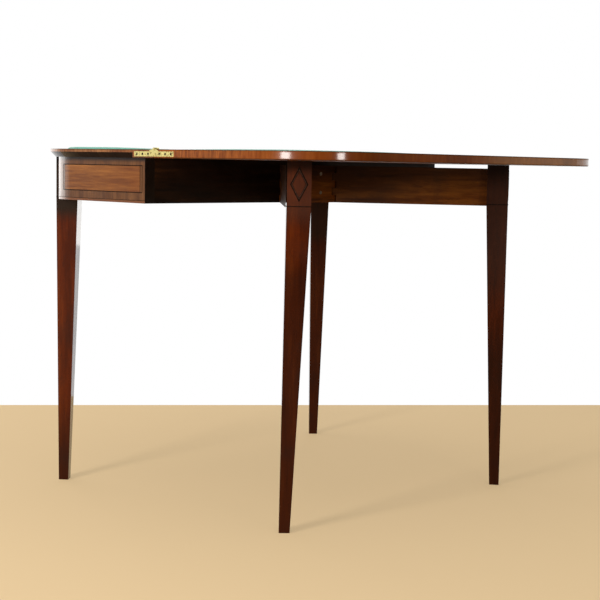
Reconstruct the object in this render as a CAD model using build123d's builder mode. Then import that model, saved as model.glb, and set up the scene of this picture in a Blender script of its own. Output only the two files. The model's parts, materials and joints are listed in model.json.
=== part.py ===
from build123d import *
from math import asin, cos, radians, sin, sqrt
import os

# Fold-over card table with a D-shaped top on tapered legs, standing open on its two swung gates.
# X runs along the fold line, +Y towards the fixed half of the top, +Z up.
# The origin is on the floor under the middle of the fold line. Lengths in mm, angles in degrees.

# Top
top_width = 946
half_depth = 453
table_height = 740
board_thickness = 17
corner_radius = 152
top_overhang = 17
square_edge = 6
undercut_depth = 11
undercut_stop = 66
undercut_run_out = 5
leaf_arris = 1.6
baize_thickness = 1.2
baize_border = 36
fold_border = 10

# Frame under the fixed half
frieze_height = 91
frieze_thickness = 25
back_rail_thickness = 22
tongue_length = 10
tongue_thickness = 9
tongue_shoulder = 8
cross_rail_width = 62
cross_rail_thickness = 19
dovetail_length = 14
dovetail_flare = 9
glue_block_side = 24
glue_block_length = 64
back_block_shares = (0.28, 0.8)
front_block_shares = (0.18, 0.62)
end_block_shares = (0.06, 0.82)

# Legs
leg_block = 47
leg_foot = 21.5
leg_angle = 48
leg_proud = 3
gate_leg_proud = 16
front_foot_outward = 11
front_foot_forward = 4.5
gate_foot_outward = 12.75
gate_foot_inward = 17
tenon_length = 14
tenon_thickness = 9
tenon_height = 62

# Gates, which swing on wooden knuckles
gate_axis_x = 74
hinge_rail_thickness = 23
gate_rail_thickness = 22
gate_rail_height = 82.5
gate_tenon_length = 25
knuckle_count = 5
knuckle_gap = 0.6
knuckle_level_gap = 0.25
horn_start_share = 0.6
gate_pin_radius = 3
gate_left_angle = 47.5
gate_right_angle = 54.5

# Brass hinges let into the ends of the fold line
strap_length = 61
strap_height = 10
strap_thickness = 3
strap_drop = 4
lug_length = 9
lug_shoulder = 16
lug_depth = 12
barrel_radius = 3.2
barrel_lift = 0.4
hinge_pin_radius = 1.2
hinge_knuckle_count = 3
hinge_screw_places = (17, 35, 52.5)

# Screws, drawn with flats and blunt ends: the last wood that they reach is bitten into, not bored
screw_flat_count = 12
screw_head_rim = 0.3
brass_head_radius = 2.6
brass_shank_radius = 1.3
brass_screw_length = 15
rail_head_radius = 4.2
rail_shank_radius = 2.2
rail_screw_length = 38
rail_screw_x = 27
rail_screw_heights = (22, 64)
pocket_radius = 9
pocket_height = 44
pocket_roof = 26
pocket_screw_depth = 4.5
pocket_screw_grip = 8
back_pocket_share = 0.55
front_pocket_share = 0.42
end_pocket_share = 0.4
slot_width = 0.8
slot_depth = 0.6

# Clearances
fit_gap = 0.1
pin_gap = 0.05
turning_gap = 0.25
leaf_gap = 0.3
gate_gap = 0.5
overrun = 5

# Levels and places worked out from the sizes above
top_underside = table_height - board_thickness
frame_bottom = top_underside - frieze_height
frame_half_width = top_width / 2 - top_overhang
frame_front = half_depth - top_overhang
frame_radius = corner_radius - top_overhang
back_face = leg_block + gate_gap
rail_front_face = back_face + back_rail_thickness
frieze_inner_x = frame_half_width - frieze_thickness
frieze_inner_y = frame_front - frieze_thickness
leg_reach = frame_radius + leg_proud - leg_block / 2
leg_x = frame_half_width - frame_radius + leg_reach * cos(radians(leg_angle))
leg_y = frame_front - frame_radius + leg_reach * sin(radians(leg_angle))
leg_seat = Location((leg_x, leg_y, 0), (0, 0, leg_angle))
gate_axis_y = back_face - hinge_rail_thickness / 2
gate_leg_x = frame_half_width + gate_leg_proud - leg_block / 2
gate_leg_y = leg_block / 2
gate_knuckle = gate_rail_thickness / 2
hinge_knuckle = hinge_rail_thickness / 2
level_height = gate_rail_height / knuckle_count
hinge_axis_z = table_height + barrel_lift
strap_top = table_height - strap_drop
strap_bottom = strap_top - strap_height
strap_middle = strap_top - strap_height / 2
lug_top = table_height - 2 * fit_gap
barrel_step = lug_depth / hinge_knuckle_count


def screw_blank(head_radius, shank_radius, length):
    """A countersunk screw before its slot is cut, head face at the origin and blunt end down -Z."""
    head_slope = head_radius - shank_radius
    with BuildPart() as blank:
        with BuildSketch():
            RegularPolygon(head_radius, screw_flat_count)
        extrude(amount=-(head_slope + screw_head_rim))
        chamfer(blank.faces().sort_by(Axis.Z)[0].edges(), length=head_slope)
        with BuildSketch():
            RegularPolygon(shank_radius, screw_flat_count)
        extrude(amount=-length)
    return blank.part


def wood_screw(head_radius, shank_radius, length):
    """The blank with its slot."""
    with BuildPart() as screw:
        add(screw_blank(head_radius, shank_radius, length))
        Box(
            2 * head_radius,
            slot_width,
            slot_depth,
            align=(Align.CENTER, Align.CENTER, Align.MAX),
            mode=Mode.SUBTRACT,
        )
    return screw.part


def bore_for_screws(seats, head_radius, shank_radius, length):
    """Countersunk clearance holes for those screws, inside the part block of what they pass through."""
    cutter = screw_blank(head_radius + pin_gap, shank_radius + pin_gap, length)
    with Locations(*seats):
        add(cutter, mode=Mode.SUBTRACT)


def screw_set(screw, seats):
    """One copy of the screw on each seat."""
    with BuildPart() as screws:
        with Locations(*seats):
            add(screw)
    return screws.part


def hinge_screw_seats(side, half):
    """Seats on the end face of one board, side -1 left or +1 right, half -1 leaf or +1 fixed."""
    return [
        Plane(origin=(side * top_width / 2, half * place, strap_middle), x_dir=(0, 1, 0), z_dir=(side, 0, 0))
        for place in hinge_screw_places
    ]


# Seats of the screws that hold the centre rail and of those that hold the top
rail_screw_seats = [
    Plane(
        origin=(side * rail_screw_x, back_face - hinge_rail_thickness, frame_bottom + height),
        z_dir=(0, -1, 0),
    )
    for side in (-1, 1)
    for height in rail_screw_heights
]
pocket_floor = top_underside - pocket_roof
back_pocket_x = frame_half_width * back_pocket_share
front_pocket_x = frame_half_width * front_pocket_share
end_pocket_y = frame_front * end_pocket_share
back_pockets = [(side * back_pocket_x, rail_front_face) for side in (-1, 1)]
front_pockets = [(side * front_pocket_x, frieze_inner_y) for side in (-1, 1)]
right_pocket = (frieze_inner_x, end_pocket_y)
pocket_screw_head = pocket_floor - (rail_head_radius - rail_shank_radius) - screw_head_rim
pocket_screw_length = top_underside + pocket_screw_grip - pocket_screw_head


def pocket_screw_seat(x, y):
    """Seat of a screw that stands in its pocket and points up into the top."""
    return Plane(origin=(x, y, pocket_screw_head), z_dir=(0, 0, -1))


back_screw_seats = [pocket_screw_seat(x, y - pocket_screw_depth) for x, y in back_pockets]
front_screw_seats = [pocket_screw_seat(x, y + pocket_screw_depth) for x, y in front_pockets]
end_screw_seats = [
    pocket_screw_seat(side * (frieze_inner_x + pocket_screw_depth), end_pocket_y) for side in (-1, 1)
]

# The two boards of the top, with the sinkings for their hinges and their baize


def strap_outline(half, gap):
    """Side view of a hinge strap, with the shoulder that rises to the knuckle."""
    return [
        (half * (fit_gap - gap), strap_bottom - gap),
        (half * (strap_length + gap), strap_bottom - gap),
        (half * (strap_length + gap), strap_top + gap),
        (half * (lug_shoulder + gap), strap_top + gap),
        (half * (lug_length + gap), lug_top + gap),
        (half * (fit_gap - gap), lug_top + gap),
    ]


def sink_hinges(half):
    """Cut both hinge sinkings of one board, inside its own part block."""
    for side in (-1, 1):
        end_plane = Plane.YZ.offset(side * top_width / 2)
        with BuildSketch(end_plane) as strap_sinking:
            with BuildLine():
                Polyline(*strap_outline(half, fit_gap), close=True)
            make_face()
        extrude(strap_sinking.sketch, amount=-side * strap_thickness, mode=Mode.SUBTRACT)
        with BuildSketch(end_plane) as lug_sinking:
            with Locations((half * (lug_length + fit_gap) / 2, (strap_bottom + table_height) / 2)):
                Rectangle(lug_length + fit_gap, table_height - strap_bottom + 2 * fit_gap)
            with Locations((0, hinge_axis_z)):
                Circle(barrel_radius + turning_gap)
        extrude(lug_sinking.sketch, amount=-side * (lug_depth + fit_gap), mode=Mode.SUBTRACT)


def baize_field(level, half):
    """Sketch of the baize on one board, inside the crossbanded border."""
    with BuildSketch(Plane.XY.offset(level)) as field:
        RectangleRounded(
            top_width - 2 * baize_border,
            2 * (half_depth - baize_border),
            corner_radius - baize_border,
        )
        with Locations((0, half * fold_border)):
            Rectangle(
                top_width,
                half_depth,
                align=(Align.CENTER, Align.MIN if half > 0 else Align.MAX),
                mode=Mode.INTERSECT,
            )
    return field.sketch


# The fixed board: its edge is undercut below a square lip, and the cut stops short of the hinges
with BuildPart() as top_fixed:
    with BuildSketch(Plane.XY.offset(table_height - square_edge)):
        RectangleRounded(top_width, 2 * half_depth, corner_radius)
    extrude(amount=square_edge)
    with BuildSketch(Plane.XY.offset(table_height - square_edge)):
        RectangleRounded(top_width, 2 * half_depth, corner_radius)
    with BuildSketch(Plane.XY.offset(top_underside)):
        RectangleRounded(
            top_width - 2 * undercut_depth,
            2 * (half_depth - undercut_depth),
            corner_radius - undercut_depth,
        )
    loft(ruled=True)
    split(bisect_by=Plane.XZ, keep=Keep.BOTTOM)
    with BuildSketch(Plane.YZ):
        with BuildLine():
            Polyline(
                (0, top_underside),
                (undercut_stop, top_underside),
                (undercut_stop + undercut_run_out, table_height - square_edge),
                (0, table_height - square_edge),
                close=True,
            )
        make_face()
    extrude(amount=top_width / 2, both=True)
    add(baize_field(table_height - baize_thickness, 1))
    extrude(amount=baize_thickness + overrun, mode=Mode.SUBTRACT)
    sink_hinges(1)

# The folding leaf: full square edge, with the arris of its show side eased
with BuildPart() as top_leaf:
    with BuildSketch(Plane.XY.offset(top_underside)):
        RectangleRounded(top_width, 2 * half_depth, corner_radius)
    extrude(amount=board_thickness)
    chamfer(top_leaf.edges().group_by(Axis.Z)[0], length=leaf_arris)
    split(bisect_by=Plane.XZ, keep=Keep.TOP)
    add(baize_field(table_height - baize_thickness, -1))
    extrude(amount=baize_thickness + overrun, mode=Mode.SUBTRACT)
    sink_hinges(-1)

with BuildPart() as baize_fixed:
    add(baize_field(table_height - baize_thickness, 1))
    extrude(amount=baize_thickness)

with BuildPart() as baize_leaf:
    add(baize_field(table_height - baize_thickness, -1))
    extrude(amount=baize_thickness)


# Brass hinges: the fixed half carries the outer and inner knuckles, the leaf half the middle one


def hinge_half(side, half):
    """One brass plate with its lug and knuckles, side -1 left or +1 right, half -1 leaf or +1 fixed."""
    own_steps = (0, 2) if half > 0 else (1,)
    other_steps = (1,) if half > 0 else (0, 2)
    with BuildPart() as plate:
        end_plane = Plane.YZ.offset(side * top_width / 2)
        with BuildSketch(end_plane):
            with BuildLine():
                Polyline(*strap_outline(half, 0), close=True)
            make_face()
        extrude(amount=-side * strap_thickness)
        with BuildSketch(end_plane):
            with Locations((half * (lug_length + fit_gap) / 2, (strap_bottom + lug_top) / 2)):
                Rectangle(lug_length - fit_gap, lug_top - strap_bottom)
        extrude(amount=-side * lug_depth)
        for step in other_steps:
            with BuildSketch(end_plane.offset(-side * (step * barrel_step - fit_gap))):
                with Locations((0, hinge_axis_z)):
                    Circle(barrel_radius + turning_gap)
            extrude(amount=-side * (barrel_step + 2 * fit_gap), mode=Mode.SUBTRACT)
        for step in own_steps:
            with BuildSketch(end_plane.offset(-side * (step * barrel_step + fit_gap * (step > 0)))):
                with Locations((0, hinge_axis_z)):
                    Circle(barrel_radius)
            extrude(amount=-side * (barrel_step - fit_gap * (1 + (step == 1))))
        with BuildSketch(end_plane):
            with Locations((0, hinge_axis_z)):
                Circle(hinge_pin_radius + pin_gap)
        extrude(amount=-side * lug_depth, mode=Mode.SUBTRACT)
        bore_for_screws(
            hinge_screw_seats(side, half),
            brass_head_radius,
            brass_shank_radius,
            strap_thickness + overrun,
        )
    return plate.part


def hinge_pin(side):
    """The rivet through the knuckles of one hinge."""
    with BuildPart() as pin:
        with BuildSketch(Plane.YZ.offset(side * top_width / 2)):
            with Locations((0, hinge_axis_z)):
                Circle(hinge_pin_radius)
        extrude(amount=-side * lug_depth)
    return pin.part


brass_screw = wood_screw(brass_head_radius, brass_shank_radius, brass_screw_length)
hinge_screws_fixed = screw_set(brass_screw, hinge_screw_seats(-1, 1) + hinge_screw_seats(1, 1))
hinge_screws_leaf = screw_set(brass_screw, hinge_screw_seats(-1, -1) + hinge_screw_seats(1, -1))

# Frame: two frieze ends and a frieze front that bend round the corners to meet the front legs


def frieze_ring():
    """Plan of the D-shaped frieze before it is parted at the legs, inside a sketch block."""
    RectangleRounded(2 * frame_half_width, 2 * frame_front, frame_radius)
    RectangleRounded(
        2 * frieze_inner_x,
        2 * frieze_inner_y,
        frame_radius - frieze_thickness,
        mode=Mode.SUBTRACT,
    )
    with Locations((0, back_face)):
        Rectangle(
            top_width,
            half_depth,
            align=(Align.CENTER, Align.MIN),
            mode=Mode.INTERSECT,
        )


# The frieze's tenons lie on the middle of its thickness where it meets a leg
tenon_shift = sqrt((frame_radius - frieze_thickness / 2) ** 2 - (leg_block / 2) ** 2) - leg_reach
tenon_bottom = frame_bottom + (frieze_height - tenon_height) / 2


def leg_tenon(hand, gap, mode):
    """Tenon or mortise at one cheek of the right front leg, hand -1 towards the end, +1 the front."""
    with BuildSketch(Plane.XY.offset(tenon_bottom - gap)) as tenon:
        with Locations(leg_seat):
            with Locations((tenon_shift, hand * (leg_block / 2 - tenon_length - gap))):
                Rectangle(
                    tenon_thickness + 2 * gap,
                    tenon_length + gap + (0 if gap else overrun),
                    align=(Align.CENTER, Align.MIN if hand > 0 else Align.MAX),
                )
    extrude(tenon.sketch, amount=tenon_height + 2 * gap, mode=mode)


def back_rail_tongue(gap, mode):
    """Tongue of the back rail's right end, or its housing in the frieze end."""
    with BuildSketch(Plane.XY.offset(frame_bottom + tongue_shoulder - gap)) as tongue:
        with Locations((frieze_inner_x + tongue_length + gap, (back_face + rail_front_face) / 2)):
            Rectangle(
                tongue_length + gap + (0 if gap else overrun),
                tongue_thickness + 2 * gap,
                align=(Align.MAX, Align.CENTER),
            )
    extrude(tongue.sketch, amount=frieze_height - 2 * tongue_shoulder + 2 * gap, mode=mode)


def cross_rail_dovetail(face_y, forward, gap, mode):
    """Lapped dovetail of the cross rail, or its socket in the wood before (+1) or behind (-1) the face."""
    with BuildSketch(Plane.XY.offset(frame_bottom - (overrun if gap else 0))) as dovetail:
        with BuildLine():
            Polyline(
                (-cross_rail_width / 2 + dovetail_flare - gap, face_y - forward * overrun),
                (-cross_rail_width / 2 + dovetail_flare - gap, face_y),
                (-cross_rail_width / 2 - gap, face_y + forward * (dovetail_length + gap)),
                (cross_rail_width / 2 + gap, face_y + forward * (dovetail_length + gap)),
                (cross_rail_width / 2 - dovetail_flare + gap, face_y),
                (cross_rail_width / 2 - dovetail_flare + gap, face_y - forward * overrun),
                close=True,
            )
        make_face()
    extrude(dovetail.sketch, amount=cross_rail_thickness + gap + (overrun if gap else 0), mode=mode)


def cut_pockets(places, seats):
    """Gouged pockets in an inner face, and the hole that each one's screw goes up through."""
    with BuildSketch(Plane.XY.offset(pocket_floor)) as pockets:
        with Locations(*places):
            Circle(pocket_radius)
    extrude(pockets.sketch, amount=-pocket_height, mode=Mode.SUBTRACT)
    bore_for_screws(seats, rail_head_radius, rail_shank_radius, pocket_screw_length)


with BuildPart() as frieze_front:
    with BuildSketch(Plane.XY.offset(frame_bottom)):
        frieze_ring()
        with Locations(leg_seat):
            with Locations((0, leg_block / 2)):
                Rectangle(top_width, top_width, align=(Align.CENTER, Align.MAX), mode=Mode.SUBTRACT)
        with Locations(Location((-leg_x, leg_y, 0), (0, 0, -leg_angle))):
            with Locations((0, leg_block / 2)):
                Rectangle(top_width, top_width, align=(Align.CENTER, Align.MAX), mode=Mode.SUBTRACT)
    extrude(amount=frieze_height)
    leg_tenon(1, 0, Mode.ADD)
    mirror(about=Plane.YZ)
    cross_rail_dovetail(frieze_inner_y, 1, fit_gap, Mode.SUBTRACT)
    cut_pockets(front_pockets, front_screw_seats)

with BuildPart() as frieze_end_right:
    with BuildSketch(Plane.XY.offset(frame_bottom)):
        frieze_ring()
        with Locations(leg_seat):
            with Locations((0, -leg_block / 2)):
                Rectangle(top_width, top_width, align=(Align.CENTER, Align.MAX), mode=Mode.INTERSECT)
    extrude(amount=frieze_height)
    leg_tenon(-1, 0, Mode.ADD)
    back_rail_tongue(fit_gap, Mode.SUBTRACT)
    cut_pockets([right_pocket], end_screw_seats[1:])

with BuildPart() as frieze_end_left:
    mirror(frieze_end_right.part, about=Plane.YZ)

with BuildPart() as back_rail:
    with BuildSketch(Plane.XY.offset(frame_bottom)):
        with Locations((0, back_face)):
            Rectangle(2 * frieze_inner_x, back_rail_thickness, align=(Align.CENTER, Align.MIN))
    extrude(amount=frieze_height)
    back_rail_tongue(0, Mode.ADD)
    mirror(about=Plane.YZ)
    cross_rail_dovetail(rail_front_face, -1, fit_gap, Mode.SUBTRACT)
    cut_pockets(back_pockets, back_screw_seats)

with BuildPart() as cross_rail:
    with BuildSketch(Plane.XY.offset(frame_bottom)):
        with Locations((0, rail_front_face)):
            Rectangle(
                cross_rail_width,
                frieze_inner_y - rail_front_face,
                align=(Align.CENTER, Align.MIN),
            )
    extrude(amount=cross_rail_thickness)
    cross_rail_dovetail(frieze_inner_y, 1, 0, Mode.ADD)
    cross_rail_dovetail(rail_front_face, -1, 0, Mode.ADD)

# Glue blocks rubbed into the angle between the frame and the fixed board
block_walls = [
    ((side * frieze_inner_x * share, rail_front_face), Vector(0, 1, 0))
    for side in (-1, 1)
    for share in back_block_shares
]
block_walls += [
    ((side * frieze_inner_x * share, frieze_inner_y), Vector(0, -1, 0))
    for side in (-1, 1)
    for share in front_block_shares
]
end_block_first = rail_front_face + glue_block_length / 2
end_block_last = frame_front - frame_radius - glue_block_length / 2
block_walls += [
    (
        (side * frieze_inner_x, end_block_first + (end_block_last - end_block_first) * share),
        Vector(-side, 0, 0),
    )
    for side in (-1, 1)
    for share in end_block_shares
]
with BuildPart() as glue_blocks:
    for (x, y), inward in block_walls:
        along = inward.cross(Vector(0, 0, -1))
        with BuildSketch(Plane(origin=(x, y, top_underside), x_dir=inward, z_dir=along)):
            with BuildLine():
                Polyline((0, 0), (glue_block_side, 0), (0, glue_block_side), close=True)
            make_face()
        extrude(amount=glue_block_length / 2, both=True)

# Legs: a square block at the height of the frieze, then a straight taper to the foot


def tapered_leg(seat, block_top, shift_x, shift_y):
    """Leg solid on a plan seat, its foot moved by the two shifts in the seat's own directions."""
    with BuildSketch(Plane(seat).offset(frame_bottom)) as block:
        Rectangle(leg_block, leg_block)
    extrude(block.sketch, amount=block_top - frame_bottom)
    with BuildSketch(Plane(seat)) as foot:
        with Locations((shift_x, shift_y)):
            Rectangle(leg_foot, leg_foot)
    loft([foot.sketch, block.sketch], ruled=True)


with BuildPart() as front_leg_right:
    tapered_leg(leg_seat, top_underside, front_foot_outward, front_foot_forward)
    leg_tenon(1, fit_gap, Mode.SUBTRACT)
    leg_tenon(-1, fit_gap, Mode.SUBTRACT)

with BuildPart() as front_leg_left:
    mirror(front_leg_right.part, about=Plane.YZ)

# Gates, drawn shut against the back rail and then swung out to where they stand
# Each knuckle joint has round fingers on one pin, with coved shoulders at the front so that the
# gate shuts flat and square shoulders at the back so that it swings out to a right angle
hinge_fingers = range(0, knuckle_count, 2)
gate_fingers = range(1, knuckle_count, 2)
gate_tenon_bottom = frame_bottom + (gate_rail_height - tenon_height) / 2


def knuckle_level(level, body_side, own_radius, other_radius, finger):
    """One level of the joint on the body that lies at -1 or +1 along X from the right-hand pin."""
    shoulder = other_radius + knuckle_gap
    height = level_height - (knuckle_level_gap if level < knuckle_count - 1 else 0)
    with BuildSketch(Plane.XY.offset(frame_bottom + level * level_height)) as plan:
        with Locations((gate_axis_x, gate_axis_y)):
            if finger:
                Circle(own_radius)
                Rectangle(
                    shoulder + overrun,
                    2 * own_radius,
                    align=(Align.MIN if body_side > 0 else Align.MAX, Align.CENTER),
                )
            else:
                with Locations((body_side * horn_start_share * shoulder, 0)):
                    Rectangle(
                        shoulder * (1 - horn_start_share) + overrun,
                        own_radius,
                        align=(Align.MIN if body_side > 0 else Align.MAX, Align.MIN),
                    )
                Circle(shoulder, mode=Mode.SUBTRACT)
    extrude(plan.sketch, amount=height)


def gate_pin_bore(radius, mode):
    """The pin, or its bore, on the right-hand knuckle axis."""
    with BuildSketch(Plane.XY.offset(frame_bottom)) as bore:
        with Locations((gate_axis_x, gate_axis_y)):
            Circle(radius)
    extrude(bore.sketch, amount=gate_rail_height, mode=mode)


with BuildPart() as hinge_rail:
    with BuildSketch(Plane.XY.offset(frame_bottom)):
        with Locations((0, gate_axis_y)):
            Rectangle(
                2 * (gate_axis_x - gate_knuckle - knuckle_gap),
                hinge_rail_thickness,
            )
    extrude(amount=gate_rail_height)
    for level in range(knuckle_count):
        knuckle_level(level, -1, hinge_knuckle, gate_knuckle, level in hinge_fingers)
    gate_pin_bore(gate_pin_radius + pin_gap, Mode.SUBTRACT)
    mirror(about=Plane.YZ)
    bore_for_screws(
        rail_screw_seats,
        rail_head_radius,
        rail_shank_radius,
        hinge_rail_thickness + overrun,
    )


def gate_tenon(gap, mode):
    """Tenon of the shut right-hand gate rail, or its mortise in the gate leg."""
    with BuildSketch(Plane.XY.offset(gate_tenon_bottom - gap)) as tenon:
        with Locations((gate_leg_x - leg_block / 2 + gate_tenon_length + gap, gate_axis_y)):
            Rectangle(
                gate_tenon_length + gap + (0 if gap else overrun),
                tenon_thickness + 2 * gap,
                align=(Align.MAX, Align.CENTER),
            )
    extrude(tenon.sketch, amount=tenon_height + 2 * gap, mode=mode)


with BuildPart() as shut_gate_rail:
    rail_start = gate_axis_x + hinge_knuckle + knuckle_gap
    rail_end = gate_leg_x - leg_block / 2
    with BuildSketch(Plane.XY.offset(frame_bottom)):
        with Locations((rail_start, gate_axis_y)):
            Rectangle(
                rail_end - rail_start,
                gate_rail_thickness,
                align=(Align.MIN, Align.CENTER),
            )
    extrude(amount=gate_rail_height)
    for level in range(knuckle_count):
        knuckle_level(level, 1, gate_knuckle, hinge_knuckle, level in gate_fingers)
    gate_pin_bore(gate_pin_radius + pin_gap, Mode.SUBTRACT)
    gate_tenon(0, Mode.ADD)

with BuildPart() as shut_gate_leg:
    tapered_leg(
        Location((gate_leg_x, gate_leg_y, 0)),
        top_underside - leaf_gap,
        gate_foot_outward,
        gate_foot_inward,
    )
    gate_tenon(fit_gap, Mode.SUBTRACT)

with BuildPart() as gate_pin_right:
    gate_pin_bore(gate_pin_radius, Mode.ADD)

with BuildPart() as gate_pin_left:
    mirror(gate_pin_right.part, about=Plane.YZ)


def swung(shape, side, angle):
    """The shut right-hand gate piece, mirrored for the left side and swung open about its pin."""
    shut = shape if side > 0 else shape.mirror(Plane.YZ)
    return shut.rotate(Axis((side * gate_axis_x, gate_axis_y, 0), (0, 0, 1)), -side * angle)


rail_screw = wood_screw(rail_head_radius, rail_shank_radius, rail_screw_length)
pocket_screw = wood_screw(rail_head_radius, rail_shank_radius, pocket_screw_length)

pieces = {
    "top_fixed": top_fixed.part,
    "top_leaf": top_leaf.part,
    "baize_fixed": baize_fixed.part,
    "baize_leaf": baize_leaf.part,
    "hinge_fixed_left": hinge_half(-1, 1),
    "hinge_fixed_right": hinge_half(1, 1),
    "hinge_leaf_left": hinge_half(-1, -1),
    "hinge_leaf_right": hinge_half(1, -1),
    "hinge_pin_left": hinge_pin(-1),
    "hinge_pin_right": hinge_pin(1),
    "hinge_screws_fixed": hinge_screws_fixed,
    "hinge_screws_leaf": hinge_screws_leaf,
    "frieze_front": frieze_front.part,
    "frieze_end_left": frieze_end_left.part,
    "frieze_end_right": frieze_end_right.part,
    "back_rail": back_rail.part,
    "cross_rail": cross_rail.part,
    "glue_blocks": glue_blocks.part,
    "pocket_screws": screw_set(pocket_screw, back_screw_seats + front_screw_seats + end_screw_seats),
    "front_leg_left": front_leg_left.part,
    "front_leg_right": front_leg_right.part,
    "hinge_rail": hinge_rail.part,
    "hinge_rail_screws": screw_set(rail_screw, rail_screw_seats),
    "gate_pin_left": gate_pin_left.part,
    "gate_pin_right": gate_pin_right.part,
    "gate_rail_left": swung(shut_gate_rail.part, -1, gate_left_angle),
    "gate_rail_right": swung(shut_gate_rail.part, 1, gate_right_angle),
    "gate_leg_left": swung(shut_gate_leg.part, -1, gate_left_angle),
    "gate_leg_right": swung(shut_gate_leg.part, 1, gate_right_angle),
}

os.makedirs("parts", exist_ok=True)
for name, piece in pieces.items():
    piece.label = name
    export_step(piece, f"parts/{name}.step")
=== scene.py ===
# Looks of a fold-over card table: polished mahogany with stringing, green baize and worn brass.
# Everything is in metres in the frame of the CAD model: X along the fold line, +Y towards the
# fixed half of the top, +Z up, origin on the floor under the middle of the fold line.
import json

import bpy
import numpy as np
from mathutils import Matrix


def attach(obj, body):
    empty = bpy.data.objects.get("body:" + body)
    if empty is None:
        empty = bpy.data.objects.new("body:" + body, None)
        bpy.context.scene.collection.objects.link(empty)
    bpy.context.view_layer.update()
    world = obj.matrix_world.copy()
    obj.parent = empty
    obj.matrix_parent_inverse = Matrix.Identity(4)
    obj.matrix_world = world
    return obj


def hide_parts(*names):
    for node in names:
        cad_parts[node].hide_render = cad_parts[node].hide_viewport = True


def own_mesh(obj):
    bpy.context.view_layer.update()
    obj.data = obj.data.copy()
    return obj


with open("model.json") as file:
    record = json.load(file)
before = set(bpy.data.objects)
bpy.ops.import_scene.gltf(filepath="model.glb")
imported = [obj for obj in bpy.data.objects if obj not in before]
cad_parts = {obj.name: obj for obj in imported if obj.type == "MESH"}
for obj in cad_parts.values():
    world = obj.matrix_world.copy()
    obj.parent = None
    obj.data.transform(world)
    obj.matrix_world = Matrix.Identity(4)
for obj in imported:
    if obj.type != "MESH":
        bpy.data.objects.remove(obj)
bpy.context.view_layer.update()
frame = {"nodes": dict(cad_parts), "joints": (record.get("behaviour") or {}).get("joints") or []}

# Viewpoint
# The table was photographed with a long lens from the height of its top, off the near corner of
# the open leaf, with the camera tipped slightly down and turned a degree to one side.
photo_width_px = 600
focal_length_px = 1340.16
sensor_width_mm = 36
camera_place = (-2.1449, -2.0680, 0.7147)
camera_yaw = np.radians(44.7293)
camera_pitch = np.radians(5.7502)
camera_roll = np.radians(1.0677)

sight = np.array([
    np.cos(camera_yaw) * np.cos(camera_pitch),
    np.sin(camera_yaw) * np.cos(camera_pitch),
    -np.sin(camera_pitch),
])
level_right = np.array([np.sin(camera_yaw), -np.cos(camera_yaw), 0])
level_up = np.cross(level_right, sight)
camera_right = level_right * np.cos(camera_roll) + level_up * np.sin(camera_roll)
camera_up = level_up * np.cos(camera_roll) - level_right * np.sin(camera_roll)
camera_matrix = Matrix.Identity(4)
for column, direction in enumerate((camera_right, camera_up, -sight)):
    for row in range(3):
        camera_matrix[row][column] = direction[row]
for row in range(3):
    camera_matrix[row][3] = camera_place[row]

camera_data = bpy.data.cameras.new("viewpoint")
camera_data.sensor_width = sensor_width_mm
camera_data.lens = focal_length_px * sensor_width_mm / photo_width_px
camera = bpy.data.objects.new("viewpoint", camera_data)
camera.matrix_world = camera_matrix
bpy.context.scene.collection.objects.link(camera)
bpy.context.scene.camera = camera
bpy.context.scene.view_settings.view_transform = "Standard"


# Studio
# A pale floor that ends at a white wall behind the table, a tall window well off to its left and
# a broad soft light overhead. Three weaker lamps stand in front, behind and to the right, and the
# room behind the viewer is dim.
floor_colour = (0.44, 0.325, 0.185, 1)
floor_glow = (0.41, 0.305, 0.175)
floor_roughness = 0.8
floor_shine = 0.1
floor_reach = 3.3
floor_depth = floor_reach + 1
wall_foot = (np.array([-0.010, 1.274]), np.array([1.386, 0.131]))
wall_azimuths = (-38, -29, 108, 139)
wall_colour = (1, 1, 1, 1)
ceiling_from = (0.45, 0.85)
ceiling_brightness = 0.6
dim_room = 0.02
room_light = (0.80, 0.79, 0.77, 1)
room_strength = 0.32
window_tint = (1.0, 0.97, 0.93)
ceiling_tint = (1.0, 0.98, 0.96)


def add_node(tree, kind, inputs=None, **settings):
    """One shader node. Settings are its properties, and inputs are values or sockets to join."""
    node = tree.nodes.new(kind)
    for name, value in settings.items():
        setattr(node, name, value)
    for name, value in (inputs or {}).items():
        if isinstance(value, bpy.types.NodeSocket):
            tree.links.new(value, node.inputs[name])
        else:
            node.inputs[name].default_value = value
    return node


def calculate(tree, operation, *values):
    """Output of a math node on up to three values or sockets."""
    inputs = dict(enumerate(values))
    return add_node(tree, "ShaderNodeMath", inputs, operation=operation).outputs[0]


def scaled(tree, vector, factor):
    """A vector or colour times a number."""
    inputs = {0: vector, "Scale": factor}
    return add_node(tree, "ShaderNodeVectorMath", inputs, operation="SCALE").outputs[0]


def new_material(name):
    """An empty node material and its output node."""
    material = bpy.data.materials.new(name)
    material.use_nodes = True
    material.node_tree.nodes.clear()
    output = add_node(material.node_tree, "ShaderNodeOutputMaterial")
    return material, material.node_tree, output


def end_material(tree, output, inputs):
    """Joins a principled shader with these inputs to the material's output."""
    shader = add_node(tree, "ShaderNodeBsdfPrincipled", inputs)
    tree.links.new(shader.outputs[0], output.inputs["Surface"])


def mesh_piece(name, points, faces, smooth=False):
    """A mesh object at the origin, its place in its points."""
    mesh = bpy.data.meshes.new(name)
    mesh.from_pydata(np.asarray(points, float).tolist(), [], np.asarray(faces, int).tolist())
    mesh.validate()
    mesh.polygons.foreach_set("use_smooth", [smooth] * len(mesh.polygons))
    mesh.update()
    piece = bpy.data.objects.new(name, mesh)
    bpy.context.scene.collection.objects.link(piece)
    return piece


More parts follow.
